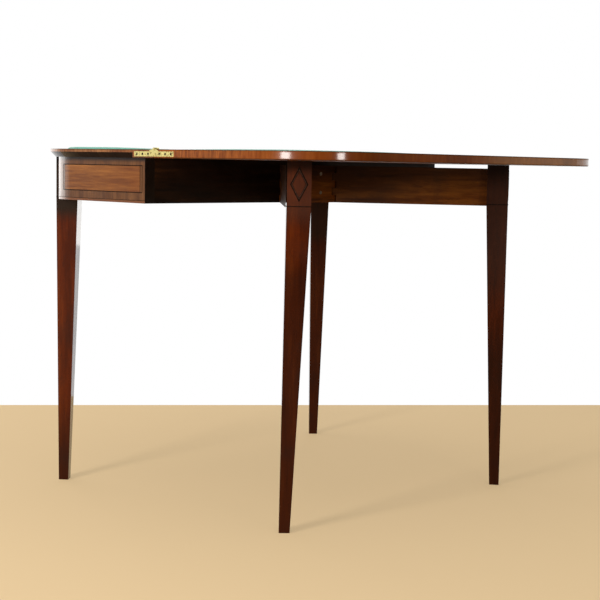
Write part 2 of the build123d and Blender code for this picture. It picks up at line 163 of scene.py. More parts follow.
wall_direction = wall_foot[1] - wall_foot[0]
wall_direction /= np.linalg.norm(wall_direction)
towards_viewer = np.array([wall_direction[1], -wall_direction[0]])
floor_corners = [
    wall_foot[0] - wall_direction * floor_reach,
    wall_foot[1] + wall_direction * floor_reach,
    wall_foot[1] + wall_direction * floor_reach + towards_viewer * floor_depth,
    wall_foot[0] - wall_direction * floor_reach + towards_viewer * floor_depth,
]
floor = mesh_piece("floor", [(x, y, 0) for x, y in floor_corners], [(3, 2, 1, 0)])
floor_material, tree, output = new_material("pale_floor")
rays = add_node(tree, "ShaderNodeLightPath")
seen = calculate(tree, "MAXIMUM", rays.outputs["Is Camera Ray"], rays.outputs["Is Transmission Ray"])
seen = calculate(tree, "MAXIMUM", seen, rays.outputs["Is Glossy Ray"])
end_material(
    tree,
    output,
    {
        "Base Color": floor_colour,
        "Roughness": floor_roughness,
        "Specular IOR Level": floor_shine,
        "Emission Color": scaled(tree, floor_glow, seen),
        "Emission Strength": 1.0,
    },
)
floor.data.materials.append(floor_material)

world = bpy.data.worlds.new("studio")
bpy.context.scene.world = world
world.use_nodes = True
tree = world.node_tree
tree.nodes.clear()
rays = add_node(tree, "ShaderNodeLightPath")
ambient = add_node(tree, "ShaderNodeBackground", {"Color": room_light, "Strength": room_strength})


def ramp_between(tree, value, low, high):
    """Smooth step from 0 at low to 1 at high."""
    node = add_node(
        tree,
        "ShaderNodeMapRange",
        {"Value": value, "From Min": low, "From Max": high},
        interpolation_type="SMOOTHSTEP",
    )
    return node.outputs[0]


# The wall fills the azimuths behind the table, from +X round past +Y, and fades at both ends
towards = add_node(tree, "ShaderNodeTexCoord").outputs["Generated"]
towards = add_node(tree, "ShaderNodeSeparateXYZ", {0: towards})
azimuth = calculate(tree, "ARCTAN2", towards.outputs["Y"], towards.outputs["X"])
near_edge, near_full, far_full, far_edge = np.radians(wall_azimuths)
in_wall = calculate(
    tree,
    "MINIMUM",
    ramp_between(tree, azimuth, near_edge, near_full),
    ramp_between(tree, azimuth, far_edge, far_full),
)
overhead = ramp_between(tree, towards.outputs["Z"], *ceiling_from)
mirrored = calculate(tree, "MAXIMUM", in_wall, calculate(tree, "MULTIPLY", overhead, ceiling_brightness))
mirrored = calculate(tree, "MAXIMUM", mirrored, dim_room)
mirrored = calculate(tree, "MULTIPLY", rays.outputs["Is Glossy Ray"], mirrored)
seen = calculate(tree, "MAXIMUM", rays.outputs["Is Camera Ray"], rays.outputs["Is Transmission Ray"])
brightness = calculate(tree, "MAXIMUM", seen, mirrored)
backdrop = add_node(tree, "ShaderNodeBackground", {"Color": wall_colour, "Strength": brightness})
mixed = add_node(
    tree,
    "ShaderNodeMixShader",
    {
        "Fac": calculate(tree, "MAXIMUM", seen, rays.outputs["Is Glossy Ray"]),
        1: ambient.outputs[0],
        2: backdrop.outputs[0],
    },
)
add_node(tree, "ShaderNodeOutputWorld", {"Surface": mixed.outputs[0]})


def window(name, place, aim, width, tall, power, tint=window_tint):
    """A rectangular lamp at a place, turned towards the point that it lights."""
    data = bpy.data.lights.new(name, "AREA")
    data.shape = "RECTANGLE"
    data.size = width
    data.size_y = tall
    data.energy = power
    data.color = tint
    lamp = bpy.data.objects.new(name, data)
    outward = np.array(place, float) - np.array(aim, float)
    outward /= np.linalg.norm(outward)
    across = np.cross((0, 0, 1), outward) if abs(outward[2]) < 0.9 else np.array([1.0, 0, 0])
    across /= np.linalg.norm(across)
    rising = np.cross(outward, across)
    lamp.matrix_world = Matrix([
        (across[row], rising[row], outward[row], place[row]) for row in range(3)
    ] + [(0, 0, 0, 1)])
    lamp.visible_camera = False
    bpy.context.scene.collection.objects.link(lamp)


window("left_window", (-3.40, -0.26, 1.00), (-0.40, -0.36, 0.95), width=0.72, tall=2.0, power=98)
window("front_window", (-1.05, -3.26, 0.76), (-0.36, -0.45, 0.74), width=0.50, tall=0.22, power=9.5)
window("back_window", (-0.35, 2.50, 0.95), (-0.35, 0.30, 0.70), width=1.6, tall=1.4, power=11)
window("right_window", (1.72, 1.56, 0.79), (-0.40, 0.39, 0.72), width=0.60, tall=0.9, power=1.9)
window("overhead_light", (-0.60, -0.30, 3.20), (0, 0, 0), width=3.0, tall=3.0, power=26, tint=ceiling_tint)


# Boards of the top
# Two boards of mahogany, veneered all over, with a border and edge of crossbanding laid in short
# lengths whose grain runs in from the rim. The outside of the leaf is the show side when shut.
board_half_width = 0.473
board_half_depth = 0.453
board_corner = 0.152
border_width = 0.036
banding_line_width = 0.0016
rim_depth = 0.0018
upper_arris = (0.7378, 0.7390)
lower_arris = (0.7256, 0.7240)
lip_bottom = 0.734
lip_slack = 0.0002
undercut_start = 0.066
mid_board = 0.73


def new_group(name, inputs, outputs):
    """An empty node group with named sockets of these kinds, and the node of its inputs."""
    group = bpy.data.node_groups.new(name, "ShaderNodeTree")
    for way, sockets in (("INPUT", inputs), ("OUTPUT", outputs)):
        for socket, kind in sockets.items():
            group.interface.new_socket(name=socket, in_out=way, socket_type="NodeSocket" + kind)
    return group, add_node(group, "NodeGroupInput")


def mix_colours(tree, share, first, second):
    """Colour between two colours or sockets, by a share or socket."""
    inputs = {0: share, 6: first, 7: second}
    return add_node(tree, "ShaderNodeMix", inputs, data_type="RGBA").outputs[2]


def tinted(tree, colour, tone, mask, strength=1.0):
    """Colour that leans to a tone where a mask is high, by a strength."""
    share = mask if strength == 1.0 else calculate(tree, "MULTIPLY", mask, strength)
    return mix_colours(tree, share, colour, tone)


def noise(tree, vector, scale, detail, roughness, distortion=0.0):
    """Value of a noise texture."""
    inputs = {
        "Vector": vector,
        "Scale": scale,
        "Detail": detail,
        "Roughness": roughness,
        "Distortion": distortion,
    }
    return add_node(tree, "ShaderNodeTexNoise", inputs).outputs[0]


# Wood grain: a broad figure, finer streaks and dark pores, all on coordinates already stretched
# along the fibres, so that one unit is about one broad feature across and one along
pore_edge = (0.60, 0.70)
dark_to_middle = (0.32, 0.52)
middle_to_light = (0.52, 0.74)
pore_black = (0.01, 0.004, 0.002, 1)
pore_blackness = 0.65
pore_strength = 0.7
streak_relief = 0.4
wood_grain, group_in = new_group(
    "wood_grain",
    {
        "Vector": "Vector",
        "Dark": "Color",
        "Middle": "Color",
        "Light": "Color",
        "Streaks": "Float",
        "Pores": "Float",
    },
    {"Color": "Color", "Height": "Float"},
)
fibres = group_in.outputs["Vector"]
dark = group_in.outputs["Dark"]
figure = noise(wood_grain, fibres, scale=1.0, detail=3.0, roughness=0.55, distortion=0.6)
streak = noise(wood_grain, fibres, scale=6.5, detail=5.0, roughness=0.6, distortion=0.2)
pore = noise(wood_grain, fibres, scale=42.0, detail=2.0, roughness=0.5)
pore = ramp_between(wood_grain, pore, *pore_edge)
lean = calculate(wood_grain, "SUBTRACT", streak, 0.5)
lean = calculate(wood_grain, "MULTIPLY", lean, group_in.outputs["Streaks"])
tone = calculate(wood_grain, "ADD", figure, lean)
to_middle = ramp_between(wood_grain, tone, *dark_to_middle)
to_light = ramp_between(wood_grain, tone, *middle_to_light)
colour = tinted(wood_grain, dark, group_in.outputs["Middle"], to_middle)
colour = tinted(wood_grain, colour, group_in.outputs["Light"], to_light)
pore_depth = calculate(wood_grain, "MULTIPLY", pore, group_in.outputs["Pores"])
pore_tone = mix_colours(wood_grain, pore_blackness, dark, pore_black)
colour = tinted(wood_grain, colour, pore_tone, pore_depth, pore_strength)
height = calculate(wood_grain, "MULTIPLY", streak, streak_relief)
height = calculate(wood_grain, "SUBTRACT", height, pore_depth)
add_node(wood_grain, "NodeGroupOutput", {"Color": colour, "Height": height})

# Polish: where hands and dusters have been over it, the gloss and the tone vary softly
grime_edge = (0.48, 0.72)
grime_tone = (0.018, 0.009, 0.006, 1)
grime_dulling = 0.25
smear_edge = (0.35, 0.75)
smear_dulling = 0.12
old_polish, group_in = new_group(
    "old_polish",
    {"Vector": "Vector", "Color": "Color", "Gloss": "Float", "Grime": "Float"},
    {"Color": "Color", "Roughness": "Float"},
)
patch = noise(old_polish, group_in.outputs["Vector"], scale=9.0, detail=4.0, roughness=0.6, distortion=0.4)
smear = noise(old_polish, group_in.outputs["Vector"], scale=55.0, detail=3.0, roughness=0.6)
grime = ramp_between(old_polish, patch, *grime_edge)
grime = calculate(old_polish, "MULTIPLY", grime, group_in.outputs["Grime"])
colour = tinted(old_polish, group_in.outputs["Color"], grime_tone, grime)
dull = calculate(old_polish, "MULTIPLY", ramp_between(old_polish, smear, *smear_edge), smear_dulling)
roughness = calculate(old_polish, "ADD", group_in.outputs["Gloss"], dull)
dull = calculate(old_polish, "MULTIPLY", grime, grime_dulling)
roughness = calculate(old_polish, "ADD", roughness, dull)
add_node(old_polish, "NodeGroupOutput", {"Color": colour, "Roughness": roughness})

# Rim of the boards: distance in from the rounded rim, and the nearest point on it
board_rim, group_in = new_group(
    "board_rim",
    {"Vector": "Vector"},
    {"Inside": "Float", "Rim Point": "Vector"},
)


def vector_math(tree, operation, *values):
    """Vector output of a vector math node."""
    return add_node(tree, "ShaderNodeVectorMath", dict(enumerate(values)), operation=operation).outputs[0]


corner_centre = (board_half_width - board_corner, board_half_depth - board_corner, 0)
flat = vector_math(board_rim, "MULTIPLY", group_in.outputs["Vector"], (1, 1, 0))
quarter = vector_math(board_rim, "ABSOLUTE", flat)
past_centre = vector_math(board_rim, "SUBTRACT", quarter, corner_centre)
past_centre = vector_math(board_rim, "MAXIMUM", past_centre, (0.0, 0.0, 0.0))
reach = add_node(board_rim, "ShaderNodeVectorMath", {0: past_centre}, operation="LENGTH").outputs["Value"]
inside = calculate(board_rim, "SUBTRACT", board_corner, reach)
outward = vector_math(board_rim, "NORMALIZE", past_centre)
rim_point = vector_math(board_rim, "ADD", quarter, scaled(board_rim, outward, inside))
rim_point = vector_math(board_rim, "MULTIPLY", rim_point, vector_math(board_rim, "SIGN", flat))
add_node(board_rim, "NodeGroupOutput", {"Inside": inside, "Rim Point": rim_point})


def on_object(tree):
    """Object coordinates, which are the table's own in metres."""
    return add_node(tree, "ShaderNodeTexCoord").outputs["Object"]


def axes(tree, vector):
    """The X, Y and Z outputs of a vector."""
    return add_node(tree, "ShaderNodeSeparateXYZ", {0: vector}).outputs


def use_group(tree, group, inputs):
    """A node that stands for a node group."""
    return add_node(tree, "ShaderNodeGroup", inputs, node_tree=group)


def grained(tree, vector, tones, streaks, pores):
    """Wood grain in three tones, dark to light, on coordinates stretched along the fibres."""
    inputs = {"Vector": vector, "Streaks": streaks, "Pores": pores}
    inputs.update(zip(("Dark", "Middle", "Light"), tones))
    return use_group(tree, wood_grain, inputs)


def stretched(tree, scale, turn=0.0, shift=(0, 0, 0)):
    """Object coordinates turned about Z, shifted and then scaled, so that fibres come out long."""
    turned = add_node(
        tree,
        "ShaderNodeMapping",
        {"Vector": on_object(tree), "Location": shift, "Rotation": (0, 0, turn)},
        vector_type="POINT",
    )
    return vector_math(tree, "MULTIPLY", turned.outputs[0], scale)


def finish_wood(tree, output, colour, height, gloss, grime, coat, relief, shine=0.2, coat_blur=0.07):
    """Ends a wood material: polish over the colour, relief from the grain, then the shader."""
    polish = use_group(
        tree,
        old_polish,
        {"Vector": on_object(tree), "Color": colour, "Gloss": gloss, "Grime": grime},
    )
    bump = add_node(tree, "ShaderNodeBump", {"Strength": relief, "Distance": 0.0004, "Height": height})
    end_material(
        tree,
        output,
        {
            "Base Color": polish.outputs["Color"],
            "Roughness": polish.outputs["Roughness"],
            "Normal": bump.outputs[0],
            "Specular IOR Level": shine,
            "Coat Weight": coat,
            "Coat Roughness": coat_blur,
        },
    )


def dress(node_name, material):
    """Gives a CAD node its material in place of the plain one."""
    node = frame["nodes"][node_name]
    for material_slot in node.material_slots:
        material_slot.material = material


# Looks of the boards: the banding's grain and the tones that it leans to, each with the span from where the
# tone starts to where it is full, then the field, line, darker arrises, undercut and polish
grain_across_banding = 26.0
grain_along_banding = 5.0
banding_lengths = 8.5
darker_length = (0.140, 0.034, 0.008, 1)
redder_front = (0.242, 0.049, 0.0, 1)
redder_towards_front = (-0.20, -0.38)
redder_towards_left = (0.10, -0.06)
deep_red_corner = (0.075, 0.012, 0.002, 1)
corner_towards_left = (-0.22, -0.36)
paler_front = (0.600, 0.280, 0.090, 1)
paler_towards_front = (-0.36, -0.44)
paler_towards_right = (-0.06, 0.08)
field_tones = ((0.085, 0.020, 0.006, 1), (0.170, 0.046, 0.011, 1), (0.270, 0.085, 0.022, 1))
field_grain = (1.6, 11.0, 11.0)
banding_line_tone = (0.010, 0.007, 0.005, 1)
arris_dark_tone = (0.020, 0.008, 0.004, 1)
undercut_stain_and_shade = (0.006, 0.003, 0.002, 1)
undercut_dulling = 0.35
undercut_worn_towards_fold = (0.36, 0.24)
board_gloss = 0.30
board_coat = 0.55
far_undercut_coat = 1.0
leaf_rim_coat = 0.95
show_side_coat = 0.3
rubbed_above = (0.7238, 0.7275)
rubbed_below = (0.7392, 0.7352)


def board_material(name, banding_tones, shift, undercut):
    """Crossbanded rim and border, a thin dark line inside it, and a field with grain along X.
    Below the lip of an undercut rim the wood is darkened nearly black, partly by a stain and partly by
    painted shade under the lip, and its coat is worn off towards the fold. The leaf's rim is rubbed bright
    between its arrises."""
    material, tree, output = new_material(name)
    place = on_object(tree)
    rim = use_group(tree, board_rim, {"Vector": place})
    spot = axes(tree, place)
    across = axes(tree, rim.outputs["Rim Point"])
    inward = calculate(tree, "SUBTRACT", rim.outputs["Inside"], spot["Z"])
    fibres = add_node(
        tree,
        "ShaderNodeCombineXYZ",
        {
            "X": calculate(tree, "MULTIPLY", across["X"], grain_across_banding),
            "Y": calculate(tree, "MULTIPLY", across["Y"], grain_across_banding),
            "Z": calculate(tree, "MULTIPLY", inward, grain_along_banding),
        },
    )
    banding = grained(tree, fibres.outputs[0], banding_tones, streaks=1.1, pores=0.4)
    lengths = add_node(
        tree,
        "ShaderNodeTexVoronoi",
        {
            "Vector": vector_math(tree, "ADD", rim.outputs["Rim Point"], shift),
            "Scale": banding_lengths,
            "Randomness": 0.9,
        },
    )
    length_tone = add_node(tree, "ShaderNodeSeparateColor", {0: lengths.outputs["Color"]}).outputs[0]
    redder = calculate(
        tree,
        "MULTIPLY",
        ramp_between(tree, across["Y"], *redder_towards_front),
        ramp_between(tree, across["X"], *redder_towards_left),
    )
    near_corner = ramp_between(tree, across["X"], *corner_towards_left)
    near_corner = calculate(tree, "MULTIPLY", redder, near_corner)
    paler = calculate(
        tree,
        "MULTIPLY",
        ramp_between(tree, across["Y"], *paler_towards_front),
        ramp_between(tree, across["X"], *paler_towards_right),
    )
    banding_colour = tinted(tree, banding.outputs["Color"], darker_length, length_tone, strength=0.5)
    banding_colour = tinted(tree, banding_colour, redder_front, redder, strength=0.65)
    banding_colour = tinted(tree, banding_colour, deep_red_corner, near_corner, strength=0.36)
    banding_colour = tinted(tree, banding_colour, paler_front, paler, strength=0.5)
    field = grained(tree, stretched(tree, field_grain, shift=shift), field_tones, streaks=0.9, pores=0.6)
    past_border = calculate(tree, "SUBTRACT", rim.outputs["Inside"], border_width)
    in_field = calculate(tree, "GREATER_THAN", past_border, banding_line_width)
    on_line = calculate(tree, "GREATER_THAN", past_border, 0.0)
    on_line = calculate(tree, "SUBTRACT", on_line, in_field)
    colour = tinted(tree, banding_colour, field.outputs["Color"], in_field)
    colour = tinted(tree, colour, banding_line_tone, on_line)
    heights = {0: in_field, 2: banding.outputs["Height"], 3: field.outputs["Height"]}
    height = add_node(tree, "ShaderNodeMix", heights).outputs[0]
    # The rim is darker along both its arrises
    upper_edge = ramp_between(tree, spot["Z"], *upper_arris)
    lower_edge = ramp_between(tree, spot["Z"], *lower_arris)
    on_rim = calculate(tree, "LESS_THAN", rim.outputs["Inside"], rim_depth)
    at_arrises = calculate(tree, "MULTIPLY", calculate(tree, "MAXIMUM", upper_edge, lower_edge), on_rim)
    colour = tinted(tree, colour, arris_dark_tone, at_arrises, strength=0.7)
    gloss = board_gloss
    if undercut:
        # Below the lip: a dark stain and painted shade
        below_lip = calculate(tree, "LESS_THAN", spot["Z"], lip_bottom - lip_slack)
        past_stop = calculate(tree, "GREATER_THAN", spot["Y"], undercut_start)
        stained_and_shaded = calculate(tree, "MULTIPLY", below_lip, past_stop)
        colour = tinted(tree, colour, undercut_stain_and_shade, stained_and_shaded, strength=0.97)
        gloss = calculate(tree, "ADD", gloss, calculate(tree, "MULTIPLY", stained_and_shaded, undercut_dulling))
        worn = ramp_between(tree, spot["Y"], *undercut_worn_towards_fold)
        worn = calculate(tree, "SUBTRACT", worn, far_undercut_coat - board_coat)
        coat = calculate(tree, "SUBTRACT", board_coat, calculate(tree, "MULTIPLY", stained_and_shaded, worn))
    else:
        rubbed = calculate(
            tree,
            "MULTIPLY",
            ramp_between(tree, spot["Z"], *rubbed_above),
            ramp_between(tree, spot["Z"], *rubbed_below),
        )
        rim_coat = calculate(tree, "MULTIPLY", calculate(tree, "MULTIPLY", rubbed, leaf_rim_coat), on_rim)
        upper_side = calculate(tree, "GREATER_THAN", spot["Z"], mid_board)
        extra = calculate(tree, "MULTIPLY", upper_side, board_coat - show_side_coat)
        face_coat = calculate(tree, "ADD", extra, show_side_coat)
        face_coat = calculate(tree, "MULTIPLY", calculate(tree, "SUBTRACT", 1.0, on_rim), face_coat)
        coat = calculate(tree, "MAXIMUM", rim_coat, face_coat)
    finish_wood(
        tree, output, colour, height, gloss, grime=0.25, coat=coat, relief=0.25, shine=0.08, coat_blur=0.14
    )
    return material


fixed_banding = ((0.135, 0.046, 0.016, 1), (0.225, 0.088, 0.029, 1), (0.330, 0.145, 0.052, 1))
leaf_banding = ((0.170, 0.043, 0.008, 1), (0.290, 0.083, 0.015, 1), (0.420, 0.145, 0.034, 1))
fixed_board_wood = board_material("fixed_board_mahogany", fixed_banding, (0.31, 0.17, 0.0), undercut=True)
leaf_wood = board_material("leaf_mahogany", leaf_banding, (0.0, 0.0, 0.0), undercut=False)
dress("top_fixed", fixed_board_wood)
dress("top_leaf", leaf_wood)


# Baize
# Green wool cloth glued into a shallow bed in each board, inside the border. It has lifted a little along its
# left edge and lies in low waves.
baize_half_width = board_half_width - border_width
baize_half_depth = board_half_depth - border_width
baize_corner = board_corner - border_width
baize_fold_margin = 0.010
baize_bed = 0.7388
baize_thickness = 0.0012
baize_wave = 0.00015
lift_from_middle = 0.25
baize_rows = 90
baize_columns = 150
baize_dark = (0.085, 0.410, 0.310, 1)
baize_light = (0.150, 0.570, 0.450, 1)
baize_faded = (0.190, 0.610, 0.490, 1)


def baize_cloth(name, half, lift, lift_place, lift_reach):
    """A sheet over one board. Rows run from the fold to the front and each row's half width
    follows the rounded corner. The height is the board's level plus low waves and a ridge inside
    the left edge: zero at the edge, highest at the reach, then dying away, and along the board's
    depth a bell curve. The waves are a sine across times a cosine in depth, each bent by the
    other's direction."""
    depth_share = np.linspace(0, 1, baize_rows)
    depth = baize_fold_margin + (baize_half_depth - baize_fold_margin) * depth_share
    past = np.clip(depth - (baize_half_depth - baize_corner), 0, baize_corner)
    half_width = baize_half_width - baize_corner + np.sqrt(baize_corner**2 - past**2)
    share = np.sin(np.linspace(-1, 1, baize_columns) * np.pi / 2)
    x = half_width[:, None] * share[None, :]
    y = depth[:, None] * np.ones_like(x)
    waves = 0.5 + 0.5 * np.sin(17 * x + 5 * np.sin(9 * y)) * np.cos(23 * y + 3 * x)
    from_corner = np.hypot(
        np.clip(np.abs(x) - (baize_half_width - baize_corner), 0, None),
        np.clip(y - (baize_half_depth - baize_corner), 0, None),
    )
    from_edge = baize_corner - from_corner
    ridge = from_edge / lift_reach[0] * np.exp(1 - from_edge / lift_reach[0])
    bell = ridge * np.exp(-np.abs((y - lift_place) / lift_reach[1]) ** 3)
    left_side = np.clip(-x / lift_from_middle, 0, 1) ** 2
    z = baize_bed + baize_thickness + baize_wave * waves + lift * bell * left_side
    points = np.stack([x, half * y, z], axis=-1).reshape(-1, 3)
    first = (np.arange(baize_rows - 1)[:, None] * baize_columns + np.arange(baize_columns - 1)).ravel()
    faces = np.stack([first, first + 1, first + baize_columns + 1, first + baize_columns], axis=1)
    if half < 0:
        faces = faces[:, ::-1]
    cloth = mesh_piece(name, points, faces, smooth=True)
    solid = cloth.modifiers.new("thickness", "SOLIDIFY")
    solid.thickness = baize_thickness
    solid.offset = -1
    flat_size = (2 * baize_half_width, baize_half_depth - baize_fold_margin)
    cut_off_corners = (2 - np.pi / 2) * baize_corner**2
    return cloth, flat_size, flat_size[0] * flat_size[1] - cut_off_corners


baize_material, tree, output = new_material("green_baize")
place = on_object(tree)
felt = noise(tree, place, scale=900.0, detail=3.0, roughness=0.7)
patches = noise(tree, place, scale=7.0, detail=4.0, roughness=0.6)
colour = tinted(tree, baize_dark, baize_light, ramp_between(tree, felt, low=0.3, high=0.7))
faded = ramp_between(tree, patches, low=0.45, high=0.75)
colour = tinted(tree, colour, baize_faded, faded, strength=0.35)
bump = add_node(tree, "ShaderNodeBump", {"Strength": 0.5, "Distance": 0.0005, "Height": felt})
end_material(
    tree,
    output,
    {
        "Base Color": colour,
        "Roughness": 0.95,
        "Normal": bump.outputs[0],
        "Sheen Weight": 0.6,
        "Sheen Roughness": 0.5,
        "Specular IOR Level": 0.15,
    },
)

for node_name, half, board, body, lift, lift_place, lift_reach in (
    ("baize_fixed", 1, "top_fixed", "table", 0.0045, 0.27, (0.008, 0.22)),
    ("baize_leaf", -1, "top_leaf", "leaf", 0.0021, 0.25, (0.008, 0.20)),
):
    cloth, flat_size, flat_area = baize_cloth(node_name + "_cloth", half, lift, lift_place, lift_reach)
    cloth.data.materials.append(baize_material)
    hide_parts(node_name)
    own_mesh(cloth)
    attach(cloth, body)


# Brass hinges
# Cast brass straps let into the ends of the boards and filed flush, worn bright on the faces
# and dark in the joints, with knuckles that stand just proud and a riveted pin. The countersunk
# screws have gone dark brown.
tarnish_edge = (0.46, 0.72)
tarnish_dulling = 0.25
scratch_stretch = (300.0, 60.0, 900.0)
scratch_dulling = 0.12


def brass_material(name, bright, dark, roughness):
    """Worn metal: tarnish gathers in low-frequency patches, fine scratches vary the gloss."""
    material, tree, output = new_material(name)
    tarnish = noise(tree, on_object(tree), scale=160.0, detail=4.0, roughness=0.65, distortion=0.5)
    tarnish = ramp_between(tree, tarnish, *tarnish_edge)
    scratches = noise(tree, stretched(tree, scratch_stretch), scale=1.0, detail=3.0, roughness=0.6)
    gloss = calculate(tree, "ADD", roughness, calculate(tree, "MULTIPLY", tarnish, tarnish_dulling))
    gloss = calculate(tree, "ADD", gloss, calculate(tree, "MULTIPLY", scratches, scratch_dulling))
    bump = add_node(tree, "ShaderNodeBump", {"Strength": 0.25, "Distance": 0.0002, "Height": scratches})
    end_material(
        tree,
        output,
        {
            "Base Color": mix_colours(tree, tarnish, bright, dark),
            "Metallic": 0.8,
            "Roughness": gloss,
            "Normal": bump.outputs[0],
        },
    )
    return material


strap_tones = ((1.00, 0.90, 0.37, 1), (0.17, 0.12, 0.035, 1))
brown_tones = ((0.040, 0.025, 0.011, 1), (0.009, 0.006, 0.004, 1))
strap_brass = brass_material("strap_brass", *strap_tones, roughness=0.34)
brown_brass = brass_material("browned_screws", *brown_tones, roughness=0.5)
for node_name in ("hinge_fixed_left", "hinge_fixed_right", "hinge_leaf_left", "hinge_leaf_right"):
    dress(node_name, strap_brass)
for node_name in ("hinge_pin_left", "hinge_pin_right"):
    dress(node_name, strap_brass)
for node_name in ("hinge_screws_fixed", "hinge_screws_leaf"):
    dress(node_name, brown_brass)


# Frieze
# Curved laminated pieces, veneered on the outside: a long-grained panel framed by a darker
# crossbanded border, parted from it by dark stringing let in flush, doubled at the panel's ends.
frieze_half_width = 0.456
frieze_front = 0.436
frieze_corner = 0.135
frieze_low = 0.632
frieze_high = 0.723
frieze_back = 0.0475
corner_start = frieze_half_width - frieze_corner
corner_length = frieze_corner * np.pi / 2
side_length = frieze_front - frieze_corner - frieze_back
frieze_reach = corner_start + corner_length + side_length
leg_turn = np.radians(48)
leg_block = 0.047
leg_middle = corner_start + frieze_corner * (np.pi / 2 - leg_turn)
leg_half = frieze_corner * np.arcsin(leg_block / 2 / frieze_corner)
panel_low = 0.6535
panel_high = 0.7075
panel_back_margin = 0.016
panel_leg_margin = 0.068
front_panel_margin = 0.026
second_line = 0.0072
line_width = 0.0018
edge_line = 0.6375
edge_line_width = 0.0010
veneer_proud = 0.00012
line_proud = 0.0003
panel_grid = (96, 8)
long_line_grid = (96, 2)
upright_line_grid = (3, 2)
border_tones = ((0.082, 0.029, 0.008, 1), (0.118, 0.045, 0.013, 1), (0.158, 0.064, 0.020, 1))
border_grain = (26.0, 26.0, 3.0)
below_line_tone = (0.150, 0.052, 0.016, 1)
shaded_tone = (0.010, 0.005, 0.003, 1)
shaded_below_top = (0.011, 0.002)
back_edge = 0.0004
panel_tones = ((0.140, 0.041, 0.006, 1), (0.215, 0.072, 0.012, 1), (0.295, 0.108, 0.020, 1))
panel_grain = (2.6, 2.6, 50.0)
panel_by_hinge = (0.110, 0.022, 0.003, 1)
panel_towards_hinge = (0.20, 0.07)


def frieze_face(along, z, proud):
    """Point on the outside of the frieze. along is the distance round it from the middle of the
    front, positive towards +X: straight, then a quarter circle, then straight to the back."""
    distance = np.abs(along)
    turn = np.clip((distance - corner_start) / corner_length, 0, 1) * np.pi / 2
    radius = frieze_corner + proud
    x = np.minimum(distance, corner_start) + radius * np.sin(turn)
    y = frieze_front - frieze_corner + radius * np.cos(turn)
    y = y - np.clip(distance - corner_start - corner_length, 0, None)
    return np.stack([np.where(along < 0, -x, x), y, z + 0 * x], axis=-1)


def frieze_skin(start, end, low, high, proud, columns, rows):
    """Points and faces of a thin closed skin on the frieze between two distances and two heights:
    an outer grid, an inner grid just under the frieze's face and the walls that join them."""
    along, z = np.meshgrid(np.linspace(start, end, columns), np.linspace(low, high, rows))
    outer = frieze_face(along, z, proud).reshape(-1, 3)
    inner = frieze_face(along, z, -proud).reshape(-1, 3)
    first = (np.arange(rows - 1)[:, None] * columns + np.arange(columns - 1)).ravel()
    front = np.stack([first, first + 1, first + columns + 1, first + columns], axis=1)
    count = rows * columns
    edge = np.concatenate([
        np.arange(columns - 1),
        np.arange(rows - 1) * columns + columns - 1,
        count - 1 - np.arange(columns - 1),
        (rows - 1 - np.arange(rows - 1)) * columns,
    ])
    following = np.roll(edge, -1)
    walls = np.stack([following, edge, edge + count, following + count], axis=1)
    faces = np.concatenate([front, front[:, ::-1] + count, walls])
    if start > end:
        faces = faces[:, ::-1]
    return np.concatenate([outer, inner]), faces


def joined(parts):
    """One list of points and one of faces from several."""
    points = np.concatenate([part[0] for part in parts])
    offsets = np.cumsum([0] + [len(part[0]) for part in parts[:-1]])
    faces = np.concatenate([part[1] + offset for part, offset in zip(parts, offsets)])
    return points, faces


frieze_border, tree, output = new_material("frieze_border_veneer")
grain = grained(tree, stretched(tree, border_grain), border_tones, streaks=0.8, pores=0.4)
spot = axes(tree, on_object(tree))
below_line = calculate(tree, "LESS_THAN", spot["Z"], edge_line)
# Painted shade darkens the border's top close under the rim; its back edge, against the back rail, takes the
# same dark tone
under_rim = ramp_between(tree, spot["Z"], *(frieze_high - below for below in shaded_below_top))
unseen_back = calculate(tree, "LESS_THAN", spot["Y"], frieze_back + back_edge)
colour = tinted(tree, grain.outputs["Color"], below_line_tone, below_line)
colour = tinted(tree, colour, shaded_tone, calculate(tree, "MAXIMUM", under_rim, unseen_back))
finish_wood(tree, output, colour, grain.outputs["Height"], gloss=0.28, grime=0.2, coat=0.6, relief=0.2)

frieze_panel, tree, output = new_material("frieze_panel_veneer")
grain = grained(tree, stretched(tree, panel_grain), panel_tones, streaks=0.8, pores=0.5)
by_hinge = ramp_between(tree, axes(tree, on_object(tree))["Y"], *panel_towards_hinge)
colour = tinted(tree, grain.outputs["Color"], panel_by_hinge, by_hinge, strength=0.35)
finish_wood(tree, output, colour, grain.outputs["Height"], gloss=0.28, grime=0.15, coat=0.6, relief=0.2)


def stringing_material(name, scale, detail, roughness, speck_edge, main_tone, speck_tone):
    """Thin inlaid wood with hardly any shine, in a tone with specks of another."""
    material, tree, output = new_material(name)
    speck = noise(tree, on_object(tree), scale, detail, roughness)
    inputs = {"Roughness": 0.35, "Coat Weight": 0.03, "Specular IOR Level": 0.05}
    inputs["Base Color"] = tinted(tree, main_tone, speck_tone, ramp_between(tree, speck, *speck_edge))
    end_material(tree, output, inputs)
    return material


dark_line = stringing_material(
    "dark_stringing", scale=700.0, detail=2.0, roughness=0.5, speck_edge=(0.35, 0.75),
    main_tone=(0.004, 0.003, 0.002, 1), speck_tone=(0.020, 0.010, 0.006, 1),
)
light_line = stringing_material(
    "light_stringing", scale=500.0, detail=3.0, roughness=0.6, speck_edge=(0.3, 0.8),
    main_tone=(0.085, 0.042, 0.028, 1), speck_tone=(0.045, 0.020, 0.013, 1),
)
for node_name in ("frieze_front", "frieze_end_left", "frieze_end_right"):
    dress(node_name, frieze_border)

